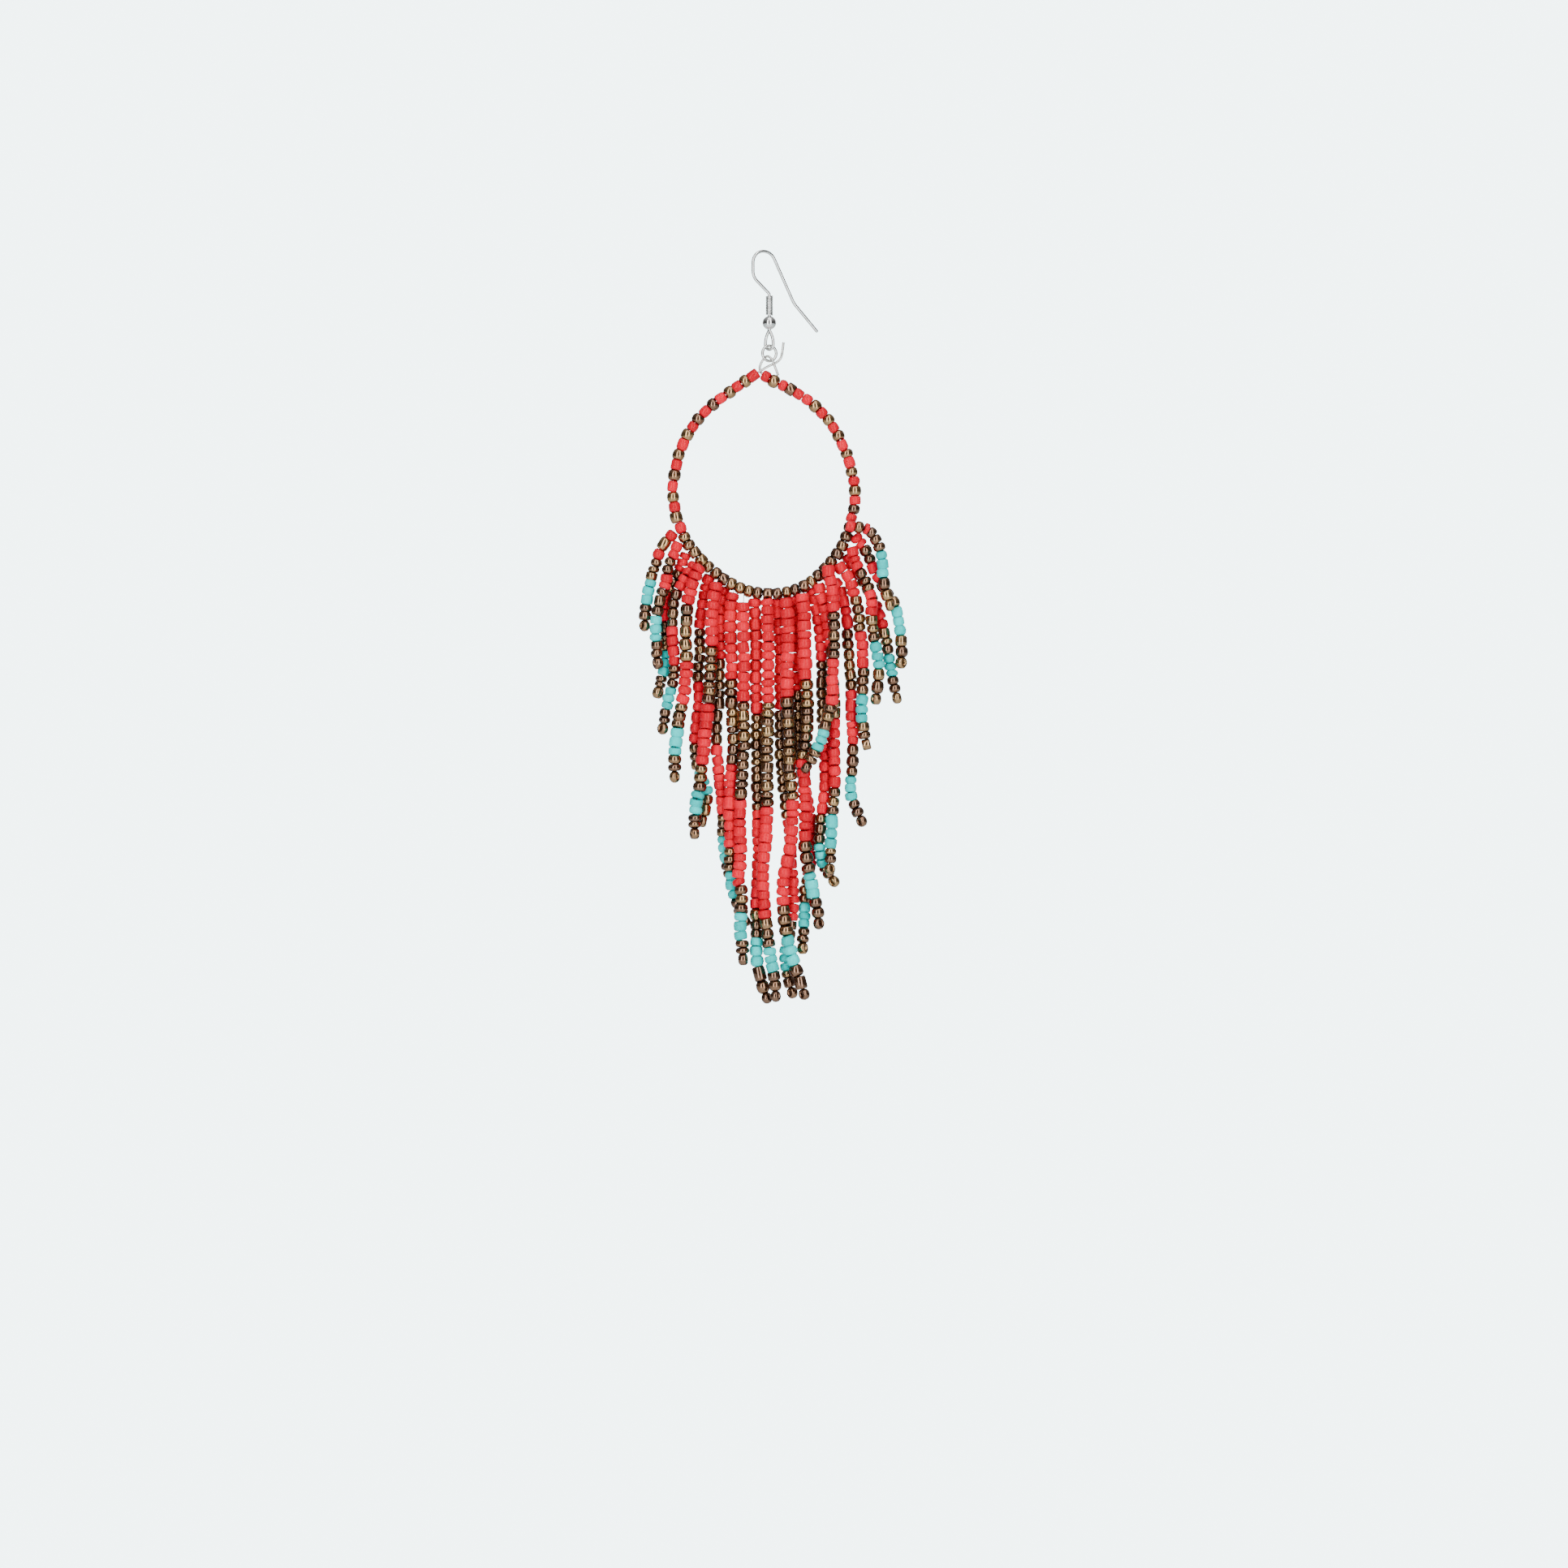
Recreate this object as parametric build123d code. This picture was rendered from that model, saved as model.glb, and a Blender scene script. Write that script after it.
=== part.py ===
from build123d import *
import os
from math import cos, pi, radians, sin, sqrt, tan

# Drop earring: an ear wire, a jump ring, and a hoop of seed beads with a beaded fringe.
# Millimetres, +Z up, seen from the front along +Y. The origin is on the inside of the
# ear wire's top bend, where the ear lobe carries it.

# Ear wire
hook_wire = 0.56          # wire diameter
hook_turn = 27.0          # degrees, the wire's plane turned back on its right side
stem_offset = 0.79        # from the top of the bend to the stem, along the plane
bend_front = 2.42         # how far the bend reaches in front of the lobe
bend_back = 1.10          # where the back leg's line meets the top of the bend
bend_front_radius = 2.0
bend_back_radius = 2.4
cheek_drop = 4.3          # lowest point of the front of the bend
cheek_radius = 2.2
neck_drop = 7.2           # where the front leg runs into the coil
neck_radius = 0.7
neck_bend = 0.25          # from that corner down to the coil's first turn
kink_back = 5.64          # the slight kink in the back leg
kink_drop = 8.76
kink_radius = 4.0
tail_back = 10.15         # the back leg's free end
tail_drop = 13.53

# Coil and ball threaded on the stem
coil_diameter = 1.30
coil_wire = 0.30
coil_turns = 12
coil_hole = 0.66
ball_diameter = 2.40
ball_hole = 0.70
thread_gap = 0.05         # between the pieces stacked on the stem
rib_overlap = 0.01        # each turn's rib reaches this far into the next

# Eye bent below the ball
eye_turn = -36.0          # degrees, the eye's plane about the stem
eye_radius = 0.86         # centreline of the round bottom
eye_drop = 0.10           # from the ball's underside to the tip of the drop shape
eye_height = 3.38         # from the tip of the drop shape to the bottom's centreline

# Jump ring
ring_wire = 0.52
ring_radius = 1.34        # centreline
ring_turn = 26.0          # degrees, the ring's plane turned back on its right side
ring_seam = 2.0           # degrees left open where its ends butt together
ring_seam_place = 35.0    # degrees from the ring's right side
link_gap = 0.10           # between wires that hang in each other

# Beads and the wire through the hoop
bead_diameter = 2.07
bead_hole = 0.90
hoop_wire_diameter = 0.45
crossing_gap = 0.08       # between the hoop wire's two ends where they cross
string_gap = 0.10         # between two strings of beads that meet on the wire
join_share = 0.50         # where two strings meet on a run, as a share of it
top_share = 0.25          # where a side's beads end on the run from the hoop's top
arc_share = 0.45          # share of the shorter run that a bend's arc takes up

# Heights on the stem, all worked out from the lengths above
coil_top = -neck_drop - neck_bend
coil_length = coil_turns * coil_wire
ball_centre = coil_top - coil_length - thread_gap - ball_diameter / 2
eye_tip = ball_centre - ball_diameter / 2 - eye_drop
eye_bottom = eye_tip - eye_height
ring_top = eye_bottom + (hook_wire + ring_wire) / 2 + link_gap
ring_centre = ring_top - ring_radius
ring_bottom = ring_centre - ring_radius

stem_x = stem_offset * cos(radians(hook_turn))
stem_y = stem_offset * sin(radians(hook_turn))

# The hoop wire's ends are bent up at the ring. Their points are measured from the lowest
# point of the ring's centreline: right, back, up. The first end rises from the left side of
# the hoop, passes below the ring and stands up beside it.
apart = (hoop_wire_diameter + crossing_gap) / 2
loop_rise = (ring_wire + hoop_wire_diameter) / 2 + link_gap
left_end = [
    (2.50, 0.20, 3.31),
    (2.33, 0.20, 1.80),
    (2.05, 0.20, 0.40),
    (1.10, 0.15, -0.38),
    (-0.14, -0.10, -0.88),
    (-1.71, -apart, -1.84),
]
# The other end rises from the right side, loops through the ring and comes down in front.
right_end = [
    (-1.36, apart, -2.27),
    (-1.79, apart + 0.04, -1.20),
    (-1.30, apart + 0.05, 0.02),
    (-0.45, 0.12, loop_rise + 0.42),
    (0.46, -0.42, loop_rise - 0.18),
    (1.00, -0.46, -1.06),
    (1.57, -0.46, -2.59),
]

# Route of the hoop wire below its ends, right and up from the top of the ear wire's bend,
# down the left side, round the bottom and up the right side.
hoop_left = [
    (-2.86, -22.1), (-6.14, -24.35), (-9.4, -26.7), (-12.2, -29.5), (-14.35, -33.05),
    (-15.7, -36.9), (-16.35, -41.2), (-16.07, -44.8), (-15.3, -47.6),
]
hoop_bottom = [
    (-13.93, -50.9), (-11.4, -54.0), (-8.1, -57.1), (-4.1, -59.3), (0.2, -60.2),
    (4.6, -59.7), (8.3, -57.9), (11.1, -54.9), (13.3, -52.3), (14.5, -49.2),
]
hoop_right = [
    (15.6, -45.6), (15.86, -41.9), (15.2, -37.9), (13.86, -34.2), (11.6, -29.9),
    (8.6, -26.7), (5.0, -24.2), (1.2, -22.55),
]

# Routes of the 25 hanging strings of beads, from the left end of the hoop's bottom to the
# right: right, back from the hoop's plane, up. Each starts just off the hoop and ends at
# the underside of its last bead.
strand_routes = [
    [(-16.3, 0.1, -49.5), (-17.7, 0.2, -50.8), (-18.9, 0.3, -53.2), (-19.8, 0.3, -56.3),
     (-20.7, 0.3, -59.6), (-21.15, 0.3, -63.2), (-21.3, 0.3, -66.6)],
    [(-15.4, -0.5, -51.3), (-16.3, -0.9, -53.2), (-17.3, -1.0, -55.6), (-17.7, -1.0, -58.8),
     (-18.8, -1.0, -61.8), (-19.4, -1.0, -65.5), (-19.3, -1.0, -69.5), (-18.8, -1.0, -73.2)],
    [(-14.1, 0.8, -53.2), (-14.8, 1.2, -54.9), (-15.9, 1.2, -57.3), (-17.6, 1.2, -60.5),
     (-17.8, 1.2, -64.3), (-17.7, 1.2, -68.3), (-17.3, 1.2, -71.5), (-18.35, 1.2, -75.0),
     (-19.2, 1.2, -78.3)],
    [(-12.6, 0.1, -54.9), (-13.6, -0.3, -56.1), (-14.7, -0.5, -58.1), (-16.0, -0.5, -60.8),
     (-16.4, -0.5, -64.8), (-16.3, -0.5, -69.1), (-15.9, -0.5, -72.6), (-16.4, -0.5, -76.4),
     (-17.7, -0.5, -80.5), (-18.2, -0.5, -84.7)],
    [(-11.6, -1.9, -55.4), (-12.4, -2.0, -57.1), (-13.4, -1.9, -59.9), (-13.8, -1.6, -63.6),
     (-14.1, -1.6, -67.9), (-13.8, -1.6, -72.6), (-14.1, -1.6, -76.6), (-15.0, -1.6, -80.8),
     (-15.7, -1.6, -85.2), (-15.9, -1.6, -89.2), (-16.0, -1.6, -93.2)],
    [(-10.0, 0.8, -57.1), (-10.6, 1.2, -58.9), (-11.1, 1.4, -62.1), (-11.7, 1.4, -65.8),
     (-11.4, 1.4, -69.8), (-12.0, 1.4, -73.8), (-11.5, 1.4, -77.8), (-12.1, 1.4, -82.1),
     (-12.6, 1.5, -86.9), (-11.9, 1.6, -91.2), (-10.0, 1.7, -94.5), (-10.5, 1.6, -97.8),
     (-11.3, 1.5, -101.0)],
    [(-8.6, -0.9, -58.4), (-9.1, -1.0, -60.5), (-9.6, -1.0, -64.3), (-9.3, -1.0, -68.3),
     (-9.7, -1.0, -72.9), (-9.9, -1.0, -77.8), (-10.4, -1.0, -82.9), (-11.0, -1.0, -88.3),
     (-11.4, -1.0, -93.3), (-12.6, -1.0, -98.4), (-12.4, -1.0, -103.2)],
    [(-7.3, 1.4, -59.1), (-7.8, 1.5, -61.5), (-8.1, 1.2, -64.9), (-7.9, 1.2, -69.2),
     (-8.1, 1.2, -73.8), (-8.2, 1.2, -78.6), (-8.7, 1.2, -83.5), (-8.6, 1.2, -88.6),
     (-7.9, 1.6, -93.8), (-7.4, 2.0, -98.9), (-7.5, 2.4, -104.3), (-6.7, 2.7, -108.1),
     (-5.7, 3.1, -111.7)],
    [(-5.7, -0.1, -60.2), (-6.1, -0.2, -62.9), (-6.15, -0.2, -66.6), (-5.9, -0.1, -70.9),
     (-6.0, -0.1, -75.8), (-5.8, 0.0, -80.9), (-5.5, 0.1, -86.3), (-6.0, 0.1, -91.9),
     (-6.3, 0.1, -97.2), (-6.1, 0.3, -102.6), (-6.2, 0.4, -107.8), (-5.7, 0.8, -112.3),
     (-4.6, 1.3, -115.5), (-2.95, 2.1, -118.35)],
    [(-3.8, -1.2, -60.6), (-4.0, -1.3, -63.8), (-3.8, -1.2, -68.3), (-3.7, -1.2, -73.5),
     (-3.85, -1.2, -79.2), (-3.8, -1.3, -84.9), (-3.95, -1.3, -90.6), (-4.4, -1.2, -96.6),
     (-4.5, -1.2, -102.1), (-4.3, -1.4, -107.2), (-4.9, -1.5, -110.1), (-4.0, -1.4, -112.9),
     (-4.5, -1.3, -117.8), (-4.1, -1.2, -121.9), (-3.8, -1.2, -125.3)],
    [(-1.9, 0.3, -61.2), (-1.8, 0.5, -64.6), (-1.5, 0.5, -69.2), (-1.75, 0.5, -74.3),
     (-1.5, 0.5, -80.1), (-1.6, 0.5, -85.8), (-1.4, 0.5, -91.8), (-1.3, 0.6, -97.8),
     (-1.1, 0.8, -103.8), (-1.3, 0.9, -109.5), (-1.6, 0.6, -114.9), (-1.5, 0.4, -119.8),
     (-1.6, 0.4, -124.3), (-0.8, 0.5, -128.3), (0.6, 0.7, -132.1)],
    [(0.3, -1.0, -61.3), (0.35, -1.3, -64.6), (0.65, -1.3, -69.2), (0.4, -1.3, -74.3),
     (0.6, -1.3, -80.1), (0.3, -1.3, -85.8), (0.3, -1.3, -91.8), (0.45, -1.3, -97.5),
     (0.05, -1.3, -103.5), (-0.5, -1.3, -109.5), (-0.15, -1.3, -114.9), (0.3, -1.3, -119.8),
     (1.0, -1.3, -124.3), (1.8, -1.3, -128.1), (1.85, -1.3, -131.8)],
    [(2.0, 0.8, -61.2), (2.3, 1.0, -64.6), (2.65, 1.0, -69.2), (2.55, 1.0, -74.3),
     (2.7, 1.0, -80.1), (2.5, 1.0, -85.8), (2.9, 1.0, -91.8), (3.7, 1.0, -97.5),
     (4.4, 1.1, -103.5), (4.8, 0.9, -109.8), (4.95, 0.9, -115.8), (4.0, 1.1, -121.2),
     (3.2, 1.2, -124.0), (4.0, 1.2, -127.8), (5.0, 1.2, -131.2)],
    [(3.6, -0.9, -61.1), (4.0, -1.1, -64.6), (4.05, -1.1, -69.2), (3.8, -1.1, -74.3),
     (3.9, -1.1, -80.1), (4.2, -1.1, -85.8), (4.2, -1.1, -91.8), (4.95, -1.1, -97.8),
     (4.5, -1.1, -104.0), (3.15, -1.1, -109.8), (3.05, -1.1, -114.9), (3.65, -1.1, -119.8),
     (4.85, -1.1, -124.3), (5.9, -1.1, -127.9), (7.1, -1.1, -131.4)],
    [(5.1, 0.8, -60.8), (5.6, 1.0, -64.3), (5.8, 1.0, -69.2), (5.6, 1.0, -74.3),
     (5.75, 1.0, -80.1), (5.65, 1.2, -85.5), (6.1, 1.8, -90.9), (7.4, 2.3, -96.1),
     (8.3, 2.7, -101.5), (8.15, 2.4, -106.9), (7.0, 2.2, -111.5), (6.9, 2.0, -115.5),
     (6.75, 1.3, -119.5), (6.45, 1.0, -123.4)],
    [(6.5, -1.0, -60.4), (6.9, -1.1, -63.5), (6.95, -1.1, -68.3), (7.1, -1.1, -73.8),
     (7.4, -1.0, -79.5), (7.45, -0.8, -84.6), (6.5, -0.6, -88.9), (7.0, -0.6, -94.3),
     (7.1, -0.7, -100.1), (6.9, -0.8, -105.5), (7.9, -0.8, -109.8), (8.6, -0.8, -113.2),
     (9.3, -0.8, -116.1), (9.5, -0.8, -119.0)],
    [(8.2, 1.2, -59.3), (8.9, 1.4, -62.3), (9.6, 1.5, -66.6), (10.0, 1.5, -71.2),
     (9.9, 1.5, -76.3), (10.1, 1.5, -81.8), (10.4, 1.5, -87.2), (10.6, 1.3, -92.6),
     (10.1, 1.0, -98.1), (9.4, 0.8, -102.9), (9.7, 0.8, -106.6), (10.9, 2.2, -109.2),
     (12.7, 2.6, -111.4)],
    [(9.5, -0.4, -58.6), (10.4, -0.3, -61.5), (11.1, -0.1, -65.5), (11.7, -0.1, -70.1),
     (11.9, -0.1, -75.2), (12.2, -0.1, -80.3), (12.1, -0.1, -85.8), (12.3, -0.1, -91.2),
     (12.1, -0.1, -96.3), (11.6, -0.2, -100.9), (11.5, -0.6, -105.2), (11.35, -0.8, -109.4)],
    [(10.9, 1.2, -56.9), (12.3, 1.4, -57.7), (13.3, 1.5, -59.2), (13.9, 1.6, -61.4),
     (14.4, 1.6, -64.8), (14.5, 1.5, -68.9), (15.1, 1.5, -74.6), (15.1, 1.5, -80.1),
     (15.5, 1.4, -85.2), (15.3, 1.3, -90.3), (14.9, 1.3, -94.6), (15.9, 1.3, -98.1),
     (17.4, 1.3, -100.9)],
    [(11.0, -2.2, -55.5), (11.5, -2.3, -58.1), (12.1, -2.3, -61.5), (12.0, -2.3, -65.8),
     (12.15, -2.3, -70.1), (11.7, -2.3, -74.6), (12.0, -2.3, -78.3), (10.9, -2.4, -82.2),
     (9.9, -2.6, -85.5), (8.5, -2.8, -88.6), (6.8, -2.9, -91.5)],
    [(12.9, -0.1, -55.1), (14.4, 0.0, -56.8), (15.4, 0.1, -59.1), (16.3, 0.1, -62.3),
     (16.6, 0.3, -66.2), (17.1, 0.5, -69.8), (17.2, 0.2, -73.8), (17.1, 0.0, -77.8),
     (16.85, 0.0, -81.5), (17.4, 0.0, -84.5), (17.9, 0.0, -87.5)],
    [(14.4, 1.4, -53.4), (15.3, 1.6, -54.8), (16.7, 1.6, -56.9), (18.0, 1.6, -59.3),
     (19.2, 1.5, -61.5), (20.4, 1.2, -64.2), (21.3, 1.1, -67.9), (21.9, 1.3, -72.0),
     (22.6, 1.3, -75.8), (23.4, 1.1, -79.3)],
    [(15.3, -0.5, -52.2), (15.8, -0.6, -54.2), (17.0, -0.6, -56.6), (18.3, -0.6, -58.9),
     (18.8, -0.6, -61.6), (18.6, -0.6, -64.3), (19.0, -0.6, -67.5), (19.6, -0.6, -70.6),
     (20.1, -0.6, -73.5), (19.8, -0.6, -76.6), (19.3, -0.6, -79.5)],
    [(15.9, 0.2, -50.0), (17.1, 0.2, -51.4), (18.2, 0.2, -53.4), (19.3, 0.2, -56.2),
     (20.9, 0.2, -59.1), (22.9, 0.2, -61.6), (23.6, 0.2, -65.0), (24.0, 0.1, -69.2),
     (23.9, 0.0, -73.1)],
    [(14.7, -2.2, -48.1), (16.4, -2.25, -48.3), (18.2, -2.2, -48.7), (19.6, -2.1, -50.5),
     (20.5, -2.0, -53.4), (20.7, -2.0, -56.9), (21.2, -2.0, -60.1), (22.2, -2.0, -63.0)],
]


def corner_radii(points):
    """The arc radius at each corner of a route, as large as its two runs allow."""
    radii = []
    for before, corner, after in zip(points, points[1:], points[2:]):
        run_in = corner - before
        run_out = after - corner
        half_turn = radians(run_in.get_angle(run_out)) / 2
        radii.append(arc_share * min(run_in.length, run_out.length) / tan(half_turn))
    return radii


def round_tube(path, diameter, hole=0):
    """A round tube or rod swept along a path of lines and tangent arcs."""
    start = Plane(origin=path @ 0, z_dir=path % 0)
    outside = sweep(start * Circle(diameter / 2), path=path)
    if not hole:
        return outside
    return outside - sweep(start * Circle(hole / 2), path=path)


def report(name, solid, path, diameter, hole, radii):
    """Print a tube's volume beside its section times its length, and its tightest bend."""
    section = pi * (diameter ** 2 - hole ** 2) / 4
    print(f"{name}: length {path.length:.1f}, volume {solid.volume:.3f}, "
          f"section by length {section * path.length:.3f}, tightest bend {min(radii):.2f}")


def in_hook_plane(back, up):
    """A point of the ear wire's own plane, in the part's frame."""
    turn = radians(hook_turn)
    return Vector(back * cos(turn), back * sin(turn), up)


def from_ring(point):
    """A point of the hoop wire's ends, from the ring's lowest point."""
    right, back, up = point
    return Vector(stem_x + right, stem_y + back, ring_bottom + up)


# The hoop's and the strings' lists were measured with the ring's lowest point 19 mm below
# the bend and the stem 0.7 mm to its right, so they hang from wherever the ring now ends.
measured_stem = 0.7
measured_ring = -19.0


def on_drop(right, back, up):
    """A point of the hoop or of a string, hung from the ring."""
    return Vector(right + stem_x - measured_stem, stem_y + back, up + ring_bottom - measured_ring)


def ear_hook():
    """One wire: the back leg, the bend over the lobe, the front leg, the stem and the eye."""
    top = hook_wire / 2
    corners = [
        in_hook_plane(stem_offset, eye_tip),
        in_hook_plane(stem_offset, -neck_drop),
        in_hook_plane(-bend_front, -cheek_drop),
        in_hook_plane(-bend_front, top),
        in_hook_plane(bend_back, top),
        in_hook_plane(kink_back, -kink_drop),
        in_hook_plane(tail_back, -tail_drop),
    ]
    radii = [neck_radius, cheek_radius, bend_front_radius, bend_back_radius, kink_radius]
    path = FilletPolyline(*corners, radius=radii)
    wire = round_tube(path, hook_wire)
    report("ear_hook", wire, path, hook_wire, 0, radii)
    tail = Pos(*corners[-1]) * Sphere(hook_wire / 2)
    return wire + tail + eye()


def eye():
    """The drop-shaped eye: two sides that bow outwards and run into a round bottom."""
    middle = eye_bottom + eye_radius
    tip = (0, 0, eye_tip)
    left = TangentArc((-eye_radius, 0, middle), tip, tangent=(0, 0, 1))
    bottom = ThreePointArc((-eye_radius, 0, middle), (0, 0, eye_bottom), (eye_radius, 0, middle))
    right = TangentArc((eye_radius, 0, middle), tip, tangent=(0, 0, 1))
    loop = Pos(0, 0, eye_tip) * Sphere(hook_wire / 2)
    for path in (left, bottom, right):
        loop += round_tube(path, hook_wire)
    return Pos(stem_x, stem_y, 0) * Rot(0, 0, eye_turn) * loop


def hook_coil():
    """The close-wound coil on the stem, as a sleeve with one round rib for each turn."""
    outer = coil_diameter / 2
    middle = outer - coil_wire / 2
    bottom = coil_top - coil_length
    with BuildSketch(Plane.XZ) as half:
        with Locations((0, bottom + coil_length / 2)):
            Rectangle(2 * middle, coil_length - coil_wire)
        with GridLocations(0, coil_wire, 1, coil_turns):
            with Locations((middle, bottom + coil_length / 2)):
                Circle(coil_wire / 2 + rib_overlap)
        with Locations((-outer, bottom + coil_length / 2)):
            Rectangle(2 * outer, 2 * coil_length, mode=Mode.SUBTRACT)
    sleeve = revolve(half.sketch, axis=Axis.Z)
    hole = Pos(0, 0, bottom + coil_length / 2) * Cylinder(coil_hole / 2, 2 * coil_length)
    return Pos(stem_x, stem_y, 0) * (sleeve - hole)


def hook_ball():
    """The drilled ball that sits on the eye's shoulders."""
    ball = Sphere(ball_diameter / 2) - Cylinder(ball_hole / 2, 2 * ball_diameter)
    return Pos(stem_x, stem_y, ball_centre) * ball


def jump_ring():
    """A plain wire ring, its ends butted together."""
    plane = Plane(origin=(stem_x, stem_y, ring_centre),
                  x_dir=(cos(radians(ring_turn)), sin(radians(ring_turn)), 0),
                  z_dir=(sin(radians(ring_turn)), -cos(radians(ring_turn)), 0))
    path = plane * CenterArc((0, 0), ring_radius, ring_seam_place + ring_seam / 2,
                             360 - ring_seam)
    return round_tube(path, ring_wire)


def hoop_route():
    """Every point of the hoop wire, from its left end round to its right end."""
    sides = hoop_left + hoop_bottom + hoop_right
    return ([from_ring(point) for point in left_end]
            + [on_drop(right, 0, up) for right, up in sides]
            + [from_ring(point) for point in right_end])


def string_on_hoop(name, first, last, ends):
    """A string of beads on the hoop wire, from a place on one run to a place on another."""
    route = hoop_route()
    radii = corner_radii(route)[first - 1:last]
    shares = [join_share if meets else top_share for meets in ends]
    start = route[first - 1] + (route[first] - route[first - 1]) * shares[0]
    finish = route[last + 1] + (route[last] - route[last + 1]) * shares[1]
    if ends[0]:
        start += (route[first] - start).normalized() * string_gap / 2
    if ends[1]:
        finish += (route[last] - finish).normalized() * string_gap / 2
    path = FilletPolyline(start, *route[first:last + 1], finish, radius=radii)
    string = round_tube(path, bead_diameter, bead_hole)
    report(name, string, path, bead_diameter, bead_hole, radii)
    return string


def hoop_wire():
    """The wire that carries the hoop's beads, its ends bent up at the ring."""
    route = hoop_route()
    radii = corner_radii(route)
    path = FilletPolyline(*route, radius=radii)
    wire = round_tube(path, hoop_wire_diameter)
    report("hoop_wire", wire, path, hoop_wire_diameter, 0, radii)
    return wire


def strand(name, points):
    """One hanging string of beads, as the round tube that its beads fill."""
    route = [on_drop(*point) for point in points]
    radii = corner_radii(route)
    path = FilletPolyline(*route, radius=radii)
    tube = round_tube(path, bead_diameter)
    report(name, tube, path, bead_diameter, 0, radii)
    return tube


def all_parts():
    """Every solid of the earring by its name."""
    left = len(left_end)
    bottom = left + len(hoop_left)
    right = bottom + len(hoop_bottom)
    end = right + len(hoop_right)
    solids = {
        "ear_hook": ear_hook(),
        "hook_coil": hook_coil(),
        "hook_ball": hook_ball(),
        "jump_ring": jump_ring(),
        "hoop_wire": hoop_wire(),
        "hoop_beads_left": string_on_hoop("hoop_beads_left", left, bottom - 1, (False, True)),
        "hoop_beads_bottom": string_on_hoop("hoop_beads_bottom", bottom, right - 1, (True, True)),
        "hoop_beads_right": string_on_hoop("hoop_beads_right", right, end - 1, (True, False)),
    }
    for number, points in enumerate(strand_routes, 1):
        name = f"strand_{number:02d}"
        solids[name] = strand(name, points)
    return solids


def main():
    os.makedirs("parts", exist_ok=True)
    for name, solid in all_parts().items():
        export_step(solid, f"parts/{name}.step")


if __name__ == "__main__":
    main()
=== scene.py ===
# A drop earring: an ear wire with a coil and a ball, a ring, and a wire hoop of seed beads with
# 25 beaded strings hanging from it. Metres; the lists of points are in millimetres, as measured.
import math
import random

import bmesh
import bpy
from mathutils import Matrix, Vector


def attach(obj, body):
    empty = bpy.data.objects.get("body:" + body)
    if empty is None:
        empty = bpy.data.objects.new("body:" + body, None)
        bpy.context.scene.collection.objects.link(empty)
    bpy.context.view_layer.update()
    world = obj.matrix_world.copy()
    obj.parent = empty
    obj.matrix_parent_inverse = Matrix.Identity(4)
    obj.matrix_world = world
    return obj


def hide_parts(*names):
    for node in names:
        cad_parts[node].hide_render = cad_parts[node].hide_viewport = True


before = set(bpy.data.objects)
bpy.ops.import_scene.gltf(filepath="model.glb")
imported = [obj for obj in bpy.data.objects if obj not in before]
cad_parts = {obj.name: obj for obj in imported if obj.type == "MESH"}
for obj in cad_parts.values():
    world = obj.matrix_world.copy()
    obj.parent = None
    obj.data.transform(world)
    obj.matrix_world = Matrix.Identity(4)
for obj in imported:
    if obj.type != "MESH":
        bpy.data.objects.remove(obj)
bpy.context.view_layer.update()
mm = 0.001

# Camera, level and square to the hoop, as the photograph was taken: a long lens far off.
camera_distance = 1.5
frame_width = 0.276
aim = Vector((3.286, 0, -93.49)) * mm
lens_data = bpy.data.cameras.new("camera")
lens_data.lens = lens_data.sensor_width * camera_distance / frame_width
camera = bpy.data.objects.new("camera", lens_data)
camera.location = aim + Vector((0, -camera_distance, 0))
camera.rotation_euler = (math.radians(90), 0, 0)
bpy.context.scene.collection.objects.link(camera)
bpy.context.scene.camera = camera

# Studio: a white room that is bright behind and below the earring and dim towards the camera,
# a wide pale floor, and two tall soft lights on either side of the camera, which give each
# bead its two upright stripes.
surround = bpy.data.worlds.new("surround")
bpy.context.scene.world = surround
surround.use_nodes = True
nodes = surround.node_tree.nodes
links = surround.node_tree.links
direction = nodes.new("ShaderNodeTexCoord")
split = nodes.new("ShaderNodeSeparateXYZ")
links.new(direction.outputs["Generated"], split.inputs["Vector"])


def room_side(axis, start, end, level):
    """How bright the room is towards one side: nothing at start, level from end on."""
    side = nodes.new("ShaderNodeMapRange")
    side.interpolation_type = "SMOOTHSTEP"
    side.inputs["From Min"].default_value = start
    side.inputs["From Max"].default_value = end
    side.inputs["To Max"].default_value = level
    links.new(split.outputs[axis], side.inputs["Value"])
    return side.outputs["Result"]


overall_level = 0.10
behind = room_side("Y", 0.45, 0.95, 0.7)
below = room_side("Z", -0.15, -0.65, 1.3)
above = room_side("Z", 0.30, 0.80, 0.25)
total = behind
for side in (below, above):
    sum_of_sides = nodes.new("ShaderNodeMath")
    links.new(total, sum_of_sides.inputs[0])
    links.new(side, sum_of_sides.inputs[1])
    total = sum_of_sides.outputs["Value"]
whole = nodes.new("ShaderNodeMath")
whole.inputs[1].default_value = overall_level
links.new(total, whole.inputs[0])
links.new(whole.outputs["Value"], nodes["Background"].inputs["Color"])
# What the camera sees of the room is plain pale paper.
paper_tone = (0.80, 0.95, 0.97, 1)
paper = nodes.new("ShaderNodeBackground")
paper.inputs["Color"].default_value = paper_tone
paper.inputs["Strength"].default_value = 6.5
seen = nodes.new("ShaderNodeLightPath")
room = nodes.new("ShaderNodeMixShader")
links.new(seen.outputs["Is Camera Ray"], room.inputs["Fac"])
links.new(nodes["Background"].outputs["Background"], room.inputs[1])
links.new(paper.outputs["Background"], room.inputs[2])
links.new(room.outputs["Shader"], nodes["World Output"].inputs["Surface"])


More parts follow.
